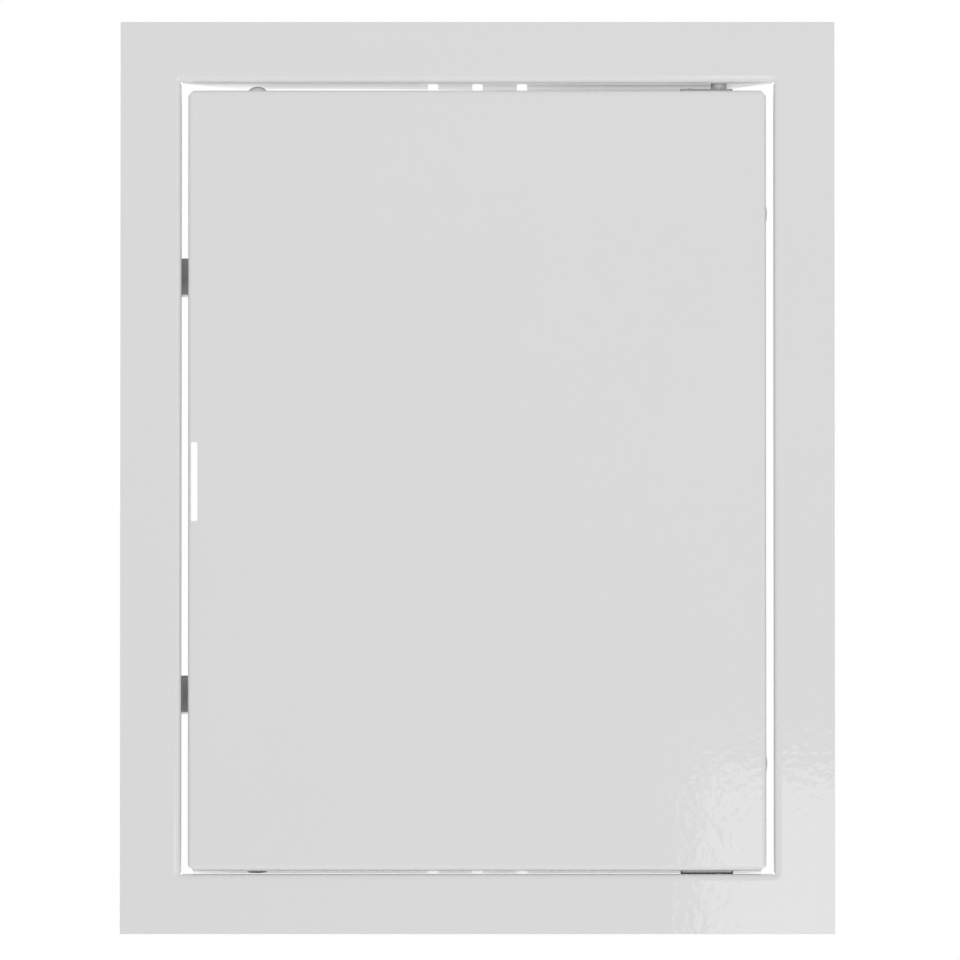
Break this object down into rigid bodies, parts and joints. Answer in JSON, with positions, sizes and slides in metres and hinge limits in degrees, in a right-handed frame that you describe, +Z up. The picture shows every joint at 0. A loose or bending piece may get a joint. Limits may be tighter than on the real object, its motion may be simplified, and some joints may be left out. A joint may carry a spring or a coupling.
{
  "type": "flush access panel with a hinged door",
  "caption": "Flush white sheet-steel access panel: a wide flat flange round a folded opening, with a tray door on pivot pins, a finger slot and magnetic catches.",
  "frame": {"origin": "centre of the opening, on the plane of the flange's back face, which lies on the wall", "axes": "+X to the hinge side seen from the room, +Y into the wall or ceiling, +Z up the panel"},
  "size_m": [0.361, 0.033, 0.4634],
  "materials": {
    "paint": "smooth gloss white powder coat with a fine orange peel",
    "zinc_steel": "dull zinc-plated steel",
    "dark_steel": "dark rolled steel",
    "grey_plastic": "moulded mid grey plastic",
    "pale_plastic": "moulded pale grey plastic",
    "ferrite": "ground sintered ferrite"
  },
  "bodies": {
    "frame_set": {"frame": "paint", "upper_pivot_pin": "zinc_steel", "lower_pivot_pin": "zinc_steel", "upper_spacer": "grey_plastic", "lower_spacer": "grey_plastic", "upper_catch_case": "grey_plastic", "lower_catch_case": "grey_plastic", "upper_catch_magnet": "ferrite", "lower_catch_magnet": "ferrite", "upper_pole_plates": "zinc_steel", "lower_pole_plates": "zinc_steel", "upper_catch_rivets": "zinc_steel", "lower_catch_rivets": "zinc_steel"},
    "door_leaf": {"door": "paint", "upper_hinge_plate": "dark_steel", "lower_hinge_plate": "dark_steel", "upper_hinge_rivets": "zinc_steel", "lower_hinge_rivets": "zinc_steel", "upper_guide_button": "pale_plastic", "lower_guide_button": "pale_plastic"}
  },
  "joints": [
    {"name": "door_hinge", "type": "hinge", "parent": "frame_set", "child": "door_leaf", "pos_m": [0.122, 0.008, 0], "axis": [0, 0, 1], "range_deg": [0, 135]}
  ]
}
